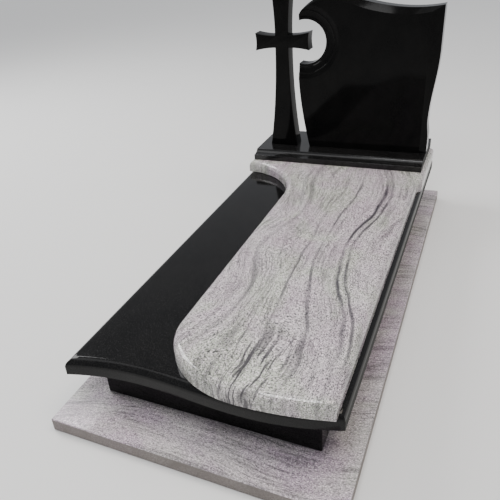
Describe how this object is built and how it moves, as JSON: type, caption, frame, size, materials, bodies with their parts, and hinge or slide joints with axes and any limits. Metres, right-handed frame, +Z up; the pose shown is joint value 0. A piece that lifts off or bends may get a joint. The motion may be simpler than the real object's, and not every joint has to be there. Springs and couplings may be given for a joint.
{
  "type": "grave memorial",
  "caption": "Two-tone granite grave memorial: stepped slabs on a kerb, with a moulded plinth, a curved headstone with a round bite in its side, and a cross reaching into it.",
  "frame": {"origin": "middle of the base slab's underside", "axes": "+X across to the right as seen from the foot, +Y towards the headstone, +Z up"},
  "size_m": [1, 2.16, 1.1715],
  "materials": {
    "pale_granite": "polished",
    "black_granite": "polished"
  },
  "bodies": {
    "root": {"base_slab": "pale_granite", "kerb_front": "black_granite", "kerb_rear": "black_granite", "kerb_left": "black_granite", "kerb_right": "black_granite", "lower_cover": "black_granite", "upper_cover": "pale_granite", "plinth": "black_granite", "headstone": "black_granite", "cross": "black_granite"}
  },
  "joints": []
}
